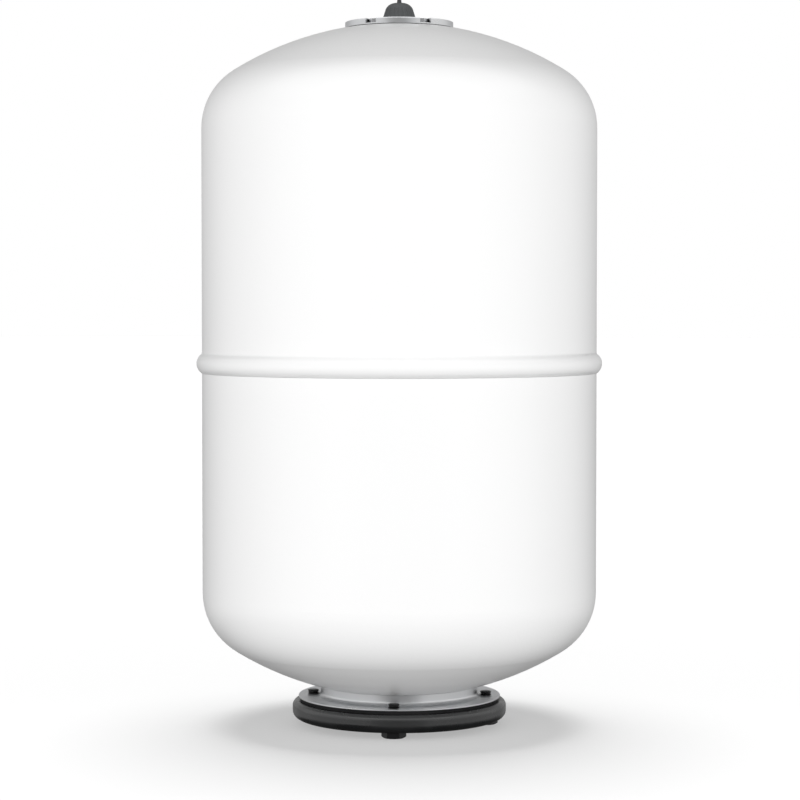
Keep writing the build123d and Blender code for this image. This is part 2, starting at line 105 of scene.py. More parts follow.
class VesselFinishes(bpy.types.PropertyGroup):
    """Colours and surface qualities of the vessel's finishes."""

    coat_colour: colour("Powder coat", "White powder coat of the steel body", (0.86, 0.86, 0.86))
    coat_roughness: factor("Powder coat roughness", "How matt the powder coat is", 0.3)
    peel_size: length("Orange peel size", "Width of the powder coat's ripples", 0.0022)
    zinc_colour: colour("Zinc plate", "Zinc of the neck ring and valve flange", (0.72, 0.725, 0.73))
    screw_colour: colour("Screw zinc", "Bright zinc of the small screws", (0.82, 0.82, 0.83))
    # Near black: partly the bolts' own dark steel, partly painted shade for the heads under the
    # counter flange.
    bolt_colour: colour("Bolt steel", "Dark steel of the flange bolts", (0.035, 0.035, 0.036))
    moulding_colour: colour("Moulding", "Black of the counter flange", (0.006, 0.0065, 0.007))
    cap_colour: colour("Cap plastic", "Dark grey plastic of the valve cap", (0.030, 0.033, 0.035))
    brass_colour: colour("Brass", "Valve stem, nut and core", (0.80, 0.60, 0.30))
    nickel_colour: colour("Nickel plate", "Bush of the water connection", (0.72, 0.69, 0.63))
    # Near black: black rubber, made darker still as painted shade for the bladder's lip in the gap
    # under the neck plate.
    rubber_colour: colour("Rubber", "Bladder and gaskets", (0.008, 0.008, 0.0085))
    seal_colour: colour("Valve seal", "Red-brown rubber of the core's seals", (0.22, 0.035, 0.02))
    grid_colour: colour("Grid plastic", "Natural plastic of the outlet grid", (0.62, 0.61, 0.56))
    edge_wear: factor("Edge wear", "How much the metal shows brighter along its edges", 0.2)


class VesselThreads(bpy.types.PropertyGroup):
    """Thread sizes of the pieces whose threads show."""

    bolt_pitch: length("Bolt pitch", "Pitch of the flange bolts' thread", 0.00125)
    stem_pitch: length("Stem pitch", "Pitch of the valve stem's thread", 0.00079)
    connection_pitch: length("Connection pitch", "Pitch of the water connection's thread", 0.00181)
    depth_share: factor("Thread depth", "Depth of a thread as a share of its pitch", 0.6)


class VesselStage(bpy.types.PropertyGroup):
    """Camera, light and floor."""

    camera_distance: length("Camera distance", "From the vessel's axis to the camera", 1.782)
    camera_height: length("Camera height", "Above the floor", 0.2991)
    aim_height: length("Aim height", "Height of the aim above the floor", 0.231)
    aim_right: length("Aim to the right", "Distance of the aim from the axis", 0.0005)
    camera_turn: bearing("Camera turn", "Turn of the camera about the vessel", 3.5)
    lens: amount("Lens", "Focal length in millimetres", 112.7, 20)
    front_light: amount("Front light", "Brightness of the broad panel behind the camera", 2.63)
    room_light: amount("Room light", "Brightness of the room beside and behind the vessel", 0.33)
    ceiling_light: amount("Ceiling light", "Brightness straight overhead", 0.074)
    low_light: amount("Light from below", "Brightness that the table throws back", 0.60)
    panel_lift: bearing("Panel lift", "How far the middle of the broad panel is above level", 8.2)
    table_glow: amount("Table glow", "Light of the lit table itself", 0.405)
    table_lamp: amount("Table lamp", "Soft lamp that throws a shadow on the table alone", 5.2)
    lamp_width: bearing("Lamp width", "Width of the table lamp, seen from the table", 37)
    lamp_tilt: bearing("Lamp tilt", "How far the table lamp stands behind the vessel", 11.5)
    floor_colour: colour("Floor", "Pale floor", (0.93, 0.93, 0.93))


# ------------------------------------------------ node building


def connect(tree, socket, value):
    """Links another node's output to a socket, or sets the socket to a plain value."""
    if isinstance(value, bpy.types.NodeSocket):
        tree.links.new(value, socket)
    else:
        socket.default_value = value


def place(tree, kind, inputs=None, **settings):
    """A new node, with its settings made and its inputs set or linked."""
    node = tree.nodes.new(kind)
    for key, value in settings.items():
        setattr(node, key, value)
    for key, value in (inputs or {}).items():
        connect(tree, node.inputs[key], value)
    return node


def calculate(tree, operation, *values):
    """The result of one Math node."""
    node = place(tree, "ShaderNodeMath", dict(enumerate(values)), operation=operation)
    return node.outputs[0]


def spread(tree, value, low, high, new_low=0.0, new_high=1.0):
    """The value taken smoothly from one range to another, and held inside it."""
    node = place(
        tree,
        "ShaderNodeMapRange",
        {"Value": value, "From Min": low, "From Max": high, "To Min": new_low, "To Max": new_high},
        interpolation_type="SMOOTHSTEP",
    )
    return node.outputs["Result"]


def blend_colours(tree, mask, first, second):
    """First colour where the mask is nothing, second where it is full."""
    node = place(tree, "ShaderNodeMix", data_type="RGBA")
    for index, value in ((0, mask), (6, first), (7, second)):
        connect(tree, node.inputs[index], value)
    return node.outputs[2]


def noise(tree, where, scale, detail, **more):
    """Value of a cloudy noise, from nothing to 1."""
    inputs = {"Vector": where, "Scale": scale, "Detail": detail, **more}
    return place(tree, "ShaderNodeTexNoise", inputs).outputs["Fac"]


def agreement(tree, first, second):
    """How nearly two directions agree, from -1 to 1."""
    node = place(tree, "ShaderNodeVectorMath", {0: first, 1: second}, operation="DOT_PRODUCT")
    return node.outputs["Value"]


def start_group(name, inputs, outputs):
    """An empty shader group with float inputs and the named outputs, and its end sockets."""
    tree = bpy.data.node_groups.new(name, "ShaderNodeTree")
    for label, default in inputs.items():
        socket = tree.interface.new_socket(
            name=label, in_out="INPUT", socket_type="NodeSocketFloat"
        )
        socket.default_value = default
    for label in outputs:
        tree.interface.new_socket(name=label, in_out="OUTPUT", socket_type="NodeSocketFloat")
    return tree, tree.nodes.new("NodeGroupInput").outputs, tree.nodes.new("NodeGroupOutput").inputs


def object_place(tree):
    """Position on the object, in metres."""
    return tree.nodes.new("ShaderNodeTexCoord").outputs["Object"]


def ripple_group():
    """Rounded ripples such as orange peel or moulding texture, with finer ones on them."""
    tree, given, made = start_group("Ripple", {"Size": 0.002, "Fine share": 0.3}, ["Height"])
    where = object_place(tree)
    scale = calculate(tree, "DIVIDE", 1.0, given["Size"])
    coarse = noise(tree, where, scale, 1.0, Roughness=0.4)
    fine = noise(tree, where, calculate(tree, "MULTIPLY", scale, 3.7), 2.0)
    fine_part = calculate(tree, "MULTIPLY", fine, given["Fine share"])
    tree.links.new(calculate(tree, "ADD", coarse, fine_part), made["Height"])
    return tree


def mottle_group():
    """Cloudy patches for slight changes of tone and gloss."""
    tree, given, made = start_group("Mottle", {"Size": 0.03, "Contrast": 0.5}, ["Mask"])
    scale = calculate(tree, "DIVIDE", 1.0, given["Size"])
    cloud = noise(tree, object_place(tree), scale, 2.0, Roughness=0.5, Distortion=0.2)
    centred = calculate(tree, "SUBTRACT", cloud, 0.5)
    gain = calculate(tree, "MULTIPLY", given["Contrast"], 5.0)
    stretched = calculate(tree, "MULTIPLY", centred, gain)
    shifted = calculate(tree, "ADD", stretched, 0.5)
    tree.links.new(spread(tree, shifted, 0.0, 1.0), made["Mask"])
    return tree


def edge_group():
    """Mask along outer edges, broken up so that it isn't an even line."""
    tree, given, made = start_group("Edge wear", {"Width": 0.0004, "Breakup size": 0.003}, ["Mask"])
    bevel = place(tree, "ShaderNodeBevel", {"Radius": given["Width"]}, samples=6)
    true_normal = tree.nodes.new("ShaderNodeNewGeometry").outputs["Normal"]
    edge = spread(tree, agreement(tree, bevel.outputs[0], true_normal), 0.995, 0.86)
    scale = calculate(tree, "DIVIDE", 1.0, given["Breakup size"])
    breakup = spread(tree, noise(tree, object_place(tree), scale, 3.0), 0.3, 0.62)
    tree.links.new(calculate(tree, "MULTIPLY", edge, breakup), made["Mask"])
    return tree


def dust_group():
    """Mask of fine dust that settles on what faces up."""
    tree, given, made = start_group("Dust", {"Speck size": 0.0012, "Amount": 0.3}, ["Mask"])
    normal = tree.nodes.new("ShaderNodeNewGeometry").outputs["Normal"]
    rise = place(tree, "ShaderNodeSeparateXYZ", {0: normal}).outputs["Z"]
    upward = spread(tree, rise, 0.55, 1.0)
    scale = calculate(tree, "DIVIDE", 1.0, given["Speck size"])
    speckled = spread(tree, noise(tree, object_place(tree), scale, 4.0), 0.48, 0.72)
    cloudy = calculate(tree, "MULTIPLY", noise(tree, object_place(tree), 22.0, 2.0), 0.7)
    cover = calculate(tree, "MULTIPLY", calculate(tree, "ADD", speckled, cloudy), upward)
    tree.links.new(calculate(tree, "MULTIPLY", cover, given["Amount"]), made["Mask"])
    return tree


def crevice_group():
    """Mask of painted shade in narrow gaps and inner corners, taken from ambient occlusion."""
    tree, given, made = start_group("Crevice", {"Reach": 0.003}, ["Mask"])
    openness = place(tree, "ShaderNodeAmbientOcclusion", {"Distance": given["Reach"]}, samples=8)
    tree.links.new(spread(tree, openness.outputs["AO"], 0.62, 0.12), made["Mask"])
    return tree


def lathe_group():
    """Fine rings left by turning or pressing, about the vessel's axis."""
    tree, given, made = start_group("Turning marks", {"Pitch": 0.0004}, ["Height"])
    split = place(tree, "ShaderNodeSeparateXYZ", {0: object_place(tree)})
    across = calculate(tree, "MULTIPLY", split.outputs["X"], split.outputs["X"])
    along = calculate(tree, "MULTIPLY", split.outputs["Y"], split.outputs["Y"])
    radius = calculate(tree, "SQRT", calculate(tree, "ADD", across, along))
    distance = calculate(tree, "ADD", radius, split.outputs["Z"])
    travel = calculate(tree, "DIVIDE", distance, given["Pitch"])
    rings = {"W": travel, "Scale": 1.0, "Detail": 3.0}
    turned = place(tree, "ShaderNodeTexNoise", rings, noise_dimensions="1D")
    tree.links.new(turned.outputs["Fac"], made["Height"])
    return tree


GROUP_MAKERS = {
    "Ripple": ripple_group,
    "Mottle": mottle_group,
    "Edge wear": edge_group,
    "Dust": dust_group,
    "Crevice": crevice_group,
    "Turning marks": lathe_group,
}


def effect(tree, name, output, **values):
    """One shared effect placed in a material, with its own values."""
    if name not in bpy.data.node_groups:
        GROUP_MAKERS[name]()
    node = tree.nodes.new("ShaderNodeGroup")
    node.node_tree = bpy.data.node_groups[name]
    for key, value in values.items():
        node.inputs[key.replace("_", " ").capitalize()].default_value = value
    return node.outputs[output]


# ------------------------------------------------ materials


DUST_ON_WHITE = (0.52, 0.50, 0.46, 1)
DUST_ON_DARK = (0.36, 0.35, 0.33, 1)
# Near black, painted as shade into the gaps and inner corners of plated steel.
PAINTED_CREVICE_SHADE = (0.02, 0.02, 0.02, 1)
WELD_STEEL = (0.33, 0.32, 0.31, 1)
WELD_HEAT_TINT = (0.22, 0.17, 0.14, 1)
SPRING_STEEL = (0.62, 0.62, 0.63)


def start_material(name, constants):
    """A material with a Principled BSDF whose plain values are set on its own sockets."""
    material = bpy.data.materials.new(name)
    material.use_nodes = True
    tree = material.node_tree
    shader = tree.nodes["Principled BSDF"]
    for key, value in constants.items():
        shader.inputs[key].default_value = value
    return material, tree, shader


def feed(tree, shader, socket, value):
    """Links a value to one socket of the shader."""
    tree.links.new(value, shader.inputs[socket])


def relief(tree, shader, edge_radius, *layers):
    """Feeds the shader's normal from layers of (height, depth), over rounded edges."""
    normal = place(tree, "ShaderNodeBevel", {"Radius": edge_radius}, samples=6).outputs[0]
    for height, depth in layers:
        bump = {"Height": height, "Distance": depth, "Normal": normal}
        normal = place(tree, "ShaderNodeBump", bump).outputs[0]
    feed(tree, shader, "Normal", normal)


def opaque(rgb, share=1.0):
    """The colour with full alpha, scaled."""
    return (rgb[0] * share, rgb[1] * share, rgb[2] * share, 1.0)


def powder_coat(finishes):
    """Satin white powder coat: orange peel, faint cloudiness and a trace of dust on top."""
    lacquer = {"IOR": 1.5, "Coat Weight": 0.25, "Coat Roughness": 0.12, "Coat IOR": 1.5}
    material, tree, shader = start_material("White powder coat", lacquer)
    cloud = effect(tree, "Mottle", "Mask", size=0.12, contrast=0.12)
    white = finishes.coat_colour
    base = blend_colours(tree, cloud, opaque(white), opaque(white, 0.99))
    dust = effect(tree, "Dust", "Mask", speck_size=0.0016, amount=0.05)
    feed(tree, shader, "Base Color", blend_colours(tree, dust, base, DUST_ON_WHITE))
    rough = finishes.coat_roughness
    feed(tree, shader, "Roughness", spread(tree, cloud, 0.0, 1.0, rough - 0.015, rough + 0.02))
    peel = effect(tree, "Ripple", "Height", size=finishes.peel_size, fine_share=0.25)
    waves = effect(tree, "Ripple", "Height", size=0.045, fine_share=0.1)
    relief(tree, shader, 0.0006, (waves, 0.00012), (peel, 0.00005))
    return material


def plated_steel(name, tint, roughness, marks, wear):
    """Plated steel: turning rings, cloudy brightness, rubbed edges and painted shade in the
    corners.
    """
    metal = {"Metallic": 1.0, "IOR": 2.2, "Anisotropic": 0.25}
    material, tree, shader = start_material(name, metal)
    cloud = effect(tree, "Mottle", "Mask", size=0.02, contrast=0.25)
    duller = (tint[0] * 0.93, tint[1] * 0.94, tint[2] * 0.955, 1)
    base = blend_colours(tree, cloud, opaque(tint), duller)
    edges = effect(tree, "Edge wear", "Mask", width=0.0004, breakup_size=0.0025)
    rubbed = calculate(tree, "MULTIPLY", edges, wear)
    bright = tuple(min(1.0, channel * 1.25 + 0.08) for channel in tint)
    rubbed_metal = blend_colours(tree, rubbed, base, opaque(bright))
    # Painted shade: ambient occlusion darkens gaps and inner corners towards near black.
    crevice_shade = effect(tree, "Crevice", "Mask", reach=0.003)
    feed(tree, shader, "Base Color", blend_colours(tree, crevice_shade, rubbed_metal, PAINTED_CREVICE_SHADE))
    gloss = spread(tree, cloud, 0.0, 1.0, roughness - 0.03, roughness + 0.04)
    feed(tree, shader, "Roughness", gloss)
    rings = effect(tree, "Turning marks", "Height", pitch=marks)
    grain = effect(tree, "Ripple", "Height", size=0.0006, fine_share=0.5)
    relief(tree, shader, 0.00025, (grain, 0.000006), (rings, 0.000008))
    return material


def moulded_plastic(name, tint, roughness, texture_size, texture_depth, edge_light, shine=0.5):
    """Moulded plastic: fine mould texture, slightly paler rubbed edges and dust."""
    material, tree, shader = start_material(name, {"IOR": 1.52, "Specular IOR Level": shine})
    cloud = effect(tree, "Mottle", "Mask", size=0.02, contrast=0.5)
    base = blend_colours(tree, cloud, opaque(tint), opaque(tint, 1.35))
    edges = effect(tree, "Edge wear", "Mask", width=0.0005, breakup_size=0.004)
    paler = tuple(min(1.0, channel * 2.2 + 0.03) for channel in tint)
    rubbed = calculate(tree, "MULTIPLY", edges, edge_light)
    worn = blend_colours(tree, rubbed, base, opaque(paler))
    dust = effect(tree, "Dust", "Mask", speck_size=0.0011, amount=0.03)
    feed(tree, shader, "Base Color", blend_colours(tree, dust, worn, DUST_ON_DARK))
    gloss = spread(tree, cloud, 0.0, 1.0, roughness - 0.05, roughness + 0.07)
    feed(tree, shader, "Roughness", gloss)
    texture = effect(tree, "Ripple", "Height", size=texture_size, fine_share=0.4)
    flow = effect(tree, "Ripple", "Height", size=0.016, fine_share=0.1)
    relief(tree, shader, 0.0004, (flow, 0.00008), (texture, texture_depth))
    return material


def rubber(name, tint, bloom):
    """Rubber with a fine grain and a pale bloom in patches."""
    material, tree, shader = start_material(name, {"IOR": 1.5, "Specular IOR Level": 0.15})
    cloud = effect(tree, "Mottle", "Mask", size=0.018, contrast=0.7)
    pale = tuple(channel + bloom for channel in tint)
    feed(tree, shader, "Base Color", blend_colours(tree, cloud, opaque(tint), opaque(pale)))
    feed(tree, shader, "Roughness", spread(tree, cloud, 0.0, 1.0, 0.58, 0.8))
    grain = effect(tree, "Ripple", "Height", size=0.0007, fine_share=0.6)
    relief(tree, shader, 0.0003, (grain, 0.00004))
    return material


def yellow_metal(name, tint, roughness):
    """Machined brass or nickel: fine turning rings and a slight tarnish."""
    metal = {"Metallic": 1.0, "IOR": 1.8, "Anisotropic": 0.3}
    material, tree, shader = start_material(name, metal)
    cloud = effect(tree, "Mottle", "Mask", size=0.006, contrast=0.7)
    dull = (tint[0] * 0.72, tint[1] * 0.68, tint[2] * 0.62, 1)
    feed(tree, shader, "Base Color", blend_colours(tree, cloud, opaque(tint), dull))
    feed(tree, shader, "Roughness", spread(tree, cloud, 0.0, 1.0, roughness, roughness + 0.14))
    rings = effect(tree, "Turning marks", "Height", pitch=0.00022)
    relief(tree, shader, 0.00015, (rings, 0.000012))
    return material


def bare_weld():
    """Uncoated weld and turned steel inside the vessel: heat tint and coarse ripples."""
    metal = {"Metallic": 1.0, "IOR": 2.3}
    material, tree, shader = start_material("Bare weld steel", metal)
    cloud = effect(tree, "Mottle", "Mask", size=0.008, contrast=0.9)
    feed(tree, shader, "Base Color", blend_colours(tree, cloud, WELD_STEEL, WELD_HEAT_TINT))
    feed(tree, shader, "Roughness", spread(tree, cloud, 0.0, 1.0, 0.38, 0.6))
    ripples = effect(tree, "Ripple", "Height", size=0.0016, fine_share=0.4)
    relief(tree, shader, 0.0003, (ripples, 0.00015))
    return material


def dress(node, material):
    """Gives a CAD node one material, on its object's slots."""
    piece = NODES[node]
    for slot in piece.material_slots:
        slot.link = "OBJECT"
        slot.material = material


# ------------------------------------------------ turned and threaded meshes


SHARP_EDGE = math.radians(35)
ROWS_PER_TURN = 10


def at(value, angle):
    """The value itself, or its value at an angle if it is a function."""
    return value(angle) if callable(value) else value


def lathe_mesh(rows, segments, centre=(0, 0), loop=False):
    """Vertices and faces of rows turned about an upright axis.

    A row is (radius, height), and either may vary by angle. An open row list is closed by a point
    at each end; a loop joins its last row to its first.
    """
    points, faces = [], []
    for radius, height in rows:
        for index in range(segments):
            angle = 2 * math.pi * index / segments
            reach = at(radius, angle)
            x = centre[0] + reach * math.cos(angle)
            y = centre[1] + reach * math.sin(angle)
            points.append((x, y, at(height, angle)))
    bands = len(rows) if loop else len(rows) - 1
    for band in range(bands):
        low, high = band * segments, (band + 1) % len(rows) * segments
        for index in range(segments):
            after = (index + 1) % segments
            faces.append((low + index, low + after, high + after, high + index))
    if not loop:
        for row, flip in ((0, True), (len(rows) - 1, False)):
            points.append((centre[0], centre[1], at(rows[row][1], 0)))
            tip = len(points) - 1
            for index in range(segments):
                edge = (row * segments + index, row * segments + (index + 1) % segments)
                faces.append((edge[1], edge[0], tip) if flip else (edge[0], edge[1], tip))
    return points, faces


def make_piece(name, parts, body, material):
    """One object from (points, faces) lists, smooth except at sharp edges, riding a body."""
    points, faces = [], []
    for part_points, part_faces in parts:
        offset = len(points)
        points += part_points
        faces += [tuple(index + offset for index in face) for face in part_faces]
    mesh = bpy.data.meshes.new(name)
    mesh.from_pydata(points, [], faces)
    mesh.validate()
    mesh.shade_smooth()
    mesh.set_sharp_from_angle(angle=SHARP_EDGE)
    piece = bpy.data.objects.new(name, mesh)
    bpy.context.scene.collection.objects.link(piece)
    mesh.materials.append(material)
    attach(piece, body)
    return piece


def thread_rows(crest, low, high, pitch, depth, inward=False):
    """Rows of a helical thread between two heights, which fades out at both ends."""
    steps = max(2, round((high - low) / pitch * ROWS_PER_TURN))

    def radius_at(height):
        fade = min(1.0, (height - low) / pitch, (high - height) / pitch)

        def radius(angle):
            phase = (height / pitch - angle / (2 * math.pi)) % 1.0
            groove = min(1.0, 1.35 * (1 - abs(2 * phase - 1)))
            return crest + (depth if inward else -depth) * groove * max(0.0, fade)

        return radius

    heights = [low + (high - low) * step / steps for step in range(steps + 1)]
    return [(radius_at(height), height) for height in heights]


def hexagon_radius(across_flats):
    """Radius of a hexagon by angle, with a flat facing the front."""

    def radius(angle):
        from_flat = angle % (math.pi / 3) - math.pi / 6
        return across_flats / 2 / math.cos(from_flat)

    return radius


# ------------------------------------------------ operators, one for each group of pieces


class VESSEL_OT_body(bpy.types.Operator):
    """Coats the two shells and the waist weld in white powder coat"""

    bl_idname = "vessel.body"
    bl_label = "Coat the body"

    def execute(self, context):
        coat = powder_coat(context.scene.vessel_finishes)
        for node in ("upper_shell", "lower_shell", "waist_weld"):
            dress(node, coat)
        return {"FINISHED"}


class VESSEL_OT_necks(bpy.types.Operator):
    """Plates the neck ring, the valve flange and the washer, and leaves the inner steel bare"""

    bl_idname = "vessel.necks"
    bl_label = "Plate the neck rings"

    def execute(self, context):
        finishes = context.scene.vessel_finishes
        zinc = plated_steel(
            "Bright zinc plate",
            finishes.zinc_colour,
            roughness=0.3,
            marks=0.0005,
            wear=finishes.edge_wear,
        )
        for node in ("lower_neck_ring", "valve_flange", "valve_stem_washer"):
            dress(node, zinc)
        bare = bare_weld()
        for node in ("lower_neck_weld", "upper_neck_weld", "upper_neck_ring"):
            dress(node, bare)
        return {"FINISHED"}


class VESSEL_OT_counter_flange(bpy.types.Operator):
    """Gives the counter flange its glossy black moulding and the outlet grid its natural plastic"""

    bl_idname = "vessel.counter_flange"
    bl_label = "Finish the counter flange"

    def execute(self, context):
        finishes = context.scene.vessel_finishes
        black = moulded_plastic(
            "Black flange moulding",
            finishes.moulding_colour,
            roughness=0.28,
            texture_size=0.0011,
            texture_depth=0.00002,
            edge_light=0.25,
            shine=0.9,
        )
        dress("counter_flange", black)
        natural = moulded_plastic(
            "Natural grid plastic",
            finishes.grid_colour,
            roughness=0.45,
            texture_size=0.0008,
            texture_depth=0.00002,
            edge_light=0.1,
        )
        dress("outlet_grid", natural)
        return {"FINISHED"}


class VESSEL_OT_flange_bolts(bpy.types.Operator):
    """Makes the four flange bolts with their threads and chamfered heads"""

    bl_idname = "vessel.flange_bolts"
    bl_label = "Make the flange bolts"

    def execute(self, context):
        finishes, threads = context.scene.vessel_finishes, context.scene.vessel_threads
        low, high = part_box("flange_bolts")
        bolt_length, across_flats = 16 * MM, 15 * MM
        shank, skirt, skirt_height = 4 * MM, 8.95 * MM, 1.5 * MM
        seat = high.z - bolt_length
        circle = high.x - skirt
        hexagon = hexagon_radius(across_flats)
        end_face = 0.475 * across_flats
        chamfer_slope = math.tan(math.radians(30))

        def chamfer_height(angle):
            return low.z + (hexagon(angle) - end_face) * chamfer_slope

        rows = [
            (end_face * 0.9, low.z + 0.25 * MM),
            (end_face * 0.94, low.z),
            (end_face, low.z),
            (hexagon, chamfer_height),
            (hexagon, seat - skirt_height - 0.45 * MM),
            (skirt - 0.1 * MM, seat - skirt_height - 0.15 * MM),
            (skirt, seat - skirt_height),
            (skirt, seat - 0.15 * MM),
            (skirt - 0.15 * MM, seat),
            (shank, seat),
            (shank, seat + 1.0 * MM),
        ]
        pitch = threads.bolt_pitch
        depth = pitch * threads.depth_share
        rows += thread_rows(shank, seat + 1.2 * MM, high.z - 0.3 * MM, pitch, depth)
        rows += [(shank - 0.75 * MM, high.z - 0.25 * MM), (shank - 1.0 * MM, high.z)]
        bolts = []
        for quarter in range(4):
            angle = quarter * math.pi / 2
            centre = (circle * math.cos(angle), circle * math.sin(angle))
            bolts.append(lathe_mesh(rows, 48, centre))
        # Partly painted shade: the dark base stands for the shade on the heads under the flange;
        # tripled edge wear pales the threads' crests and edges.
        steel = plated_steel(
            "Dark bolt steel",
            finishes.bolt_colour,
            roughness=0.34,
            marks=0.0003,
            wear=3 * finishes.edge_wear,
        )
        piece = make_piece("threaded_flange_bolts", bolts, "vessel", steel)
        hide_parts("flange_bolts")
        return {"FINISHED"}


class VESSEL_OT_water_connection(bpy.types.Operator):
    """Makes the bush of the water connection with its inside thread"""

    bl_idname = "vessel.water_connection"
    bl_label = "Make the water connection"

    def execute(self, context):
        finishes, threads = context.scene.vessel_finishes, context.scene.vessel_threads
        low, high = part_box("water_connection")
        hexagon = hexagon_radius(high.y - low.y)
        bore, port, outside = 12.05 * MM, 9.5 * MM, 16.5 * MM
        thread_low, thread_top = low.z + 1.0 * MM, high.z - 1.8 * MM
        hex_top = high.z - 6 * MM
        hex_low = hex_top - 3 * MM
        pitch = threads.connection_pitch
        depth = 0.8 * pitch * threads.depth_share
        rows = [(bore + 1.0 * MM, low.z)]
        rows += thread_rows(bore, thread_low, thread_top, pitch, depth, inward=True)
        rows += [
            (port, thread_top),
            (port, high.z),
            (outside, high.z),
            (outside, hex_top),
            (hexagon, hex_top),
            (hexagon, hex_low),
            (outside, hex_low),
            (outside, low.z + 0.4 * MM),
            (outside - 0.4 * MM, low.z),
        ]
        rows.reverse()
        nickel = yellow_metal("Nickel-plated brass", finishes.nickel_colour, roughness=0.24)
        bush = lathe_mesh(rows, 96, loop=True)
        piece = make_piece("threaded_water_bush", [bush], "vessel", nickel)
        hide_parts("water_connection")
        return {"FINISHED"}


class VESSEL_OT_air_valve(bpy.types.Operator):
    """Makes the threaded valve stem and finishes its nut, core and pin"""

    bl_idname = "vessel.air_valve"
    bl_label = "Make the air valve"

    def execute(self, context):
        finishes, threads = context.scene.vessel_finishes, context.scene.vessel_threads
        brass = yellow_metal("Machined brass", finishes.brass_colour, roughness=0.22)
        for node in ("valve_stem_nut", "valve_core_body", "valve_pin"):
            dress(node, brass)
        spring = yellow_metal("Spring wire", SPRING_STEEL, roughness=0.2)
        dress("valve_core_spring", spring)
        low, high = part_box("valve_stem")
        seal_low, seal_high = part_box("valve_stem_seal")
        collar, collar_height = (high.x - low.x) / 2, 2 * MM
        outside, bore, wide_bore, hub = 3.85 * MM, 2.3 * MM, 2.6 * MM, 4.5 * MM
        core_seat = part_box("valve_core_body")[1].z - 4 * MM
        rows = [
            (bore, low.z),
            (hub, low.z),
            (hub, seal_low.z - collar_height),
            (collar, seal_low.z - collar_height),
            (collar, seal_low.z),
            (outside, seal_low.z),
            (outside, seal_high.z + 0.5 * MM),
        ]
        pitch = threads.stem_pitch
        depth = pitch * threads.depth_share
        rows += thread_rows(outside, seal_high.z + 0.6 * MM, high.z - 0.35 * MM, pitch, depth)
        rows += [
            (outside - 0.35 * MM, high.z),
            (wide_bore + 0.2 * MM, high.z),
            (wide_bore, high.z - 0.2 * MM),
            (wide_bore, core_seat),
            (bore, core_seat),
        ]
        stem = lathe_mesh(rows, 64, loop=True)
        piece = make_piece("threaded_valve_stem", [stem], "vessel", brass)
        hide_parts("valve_stem")
        return {"FINISHED"}


class VESSEL_OT_flange_screws(bpy.types.Operator):
    """Finishes the small screws of the valve flange"""

    bl_idname = "vessel.flange_screws"
    bl_label = "Finish the valve flange's screws"

    def execute(self, context):
        finishes = context.scene.vessel_finishes
        steel = plated_steel(
            "Screw zinc",
            finishes.screw_colour,
            roughness=0.24,
            marks=0.0002,
            wear=finishes.edge_wear,
        )
        dress("valve_flange_screws", steel)
        return {"FINISHED"}


class VESSEL_OT_rubber_pieces(bpy.types.Operator):
    """Gives the bladder, the gaskets and the valve's seals their rubber"""

    bl_idname = "vessel.rubber_pieces"
    bl_label = "Finish the rubber pieces"

    def execute(self, context):
        finishes = context.scene.vessel_finishes
        black = rubber("Black rubber", finishes.rubber_colour, bloom=0.006)
        for node in ("bladder", "valve_flange_gasket", "valve_stem_seal", "valve_cap_seal"):
            dress(node, black)
        red = rubber("Valve seal rubber", finishes.seal_colour, bloom=0.02)
        for node in ("valve_core_seal", "valve_pin_seal"):
            dress(node, red)
        return {"FINISHED"}


class VESSEL_OT_valve_cap(bpy.types.Operator):
    """Gives the valve cap its dark moulded plastic"""

    bl_idname = "vessel.valve_cap"
    bl_label = "Finish the valve cap"

    def execute(self, context):
        finishes = context.scene.vessel_finishes
        plastic = moulded_plastic(
            "Cap plastic",
            finishes.cap_colour,
            roughness=0.5,
            texture_size=0.0006,
            texture_depth=0.00004,
            edge_light=0.5,
        )
        dress("valve_cap", plastic)
        return {"FINISHED"}


def round_the_vessel(turn, lift):
    """Direction from the vessel to a place round it: turned from the front, and lifted."""
    level = math.cos(lift)
    return Vector((math.sin(turn) * level, -math.cos(turn) * level, math.sin(lift)))


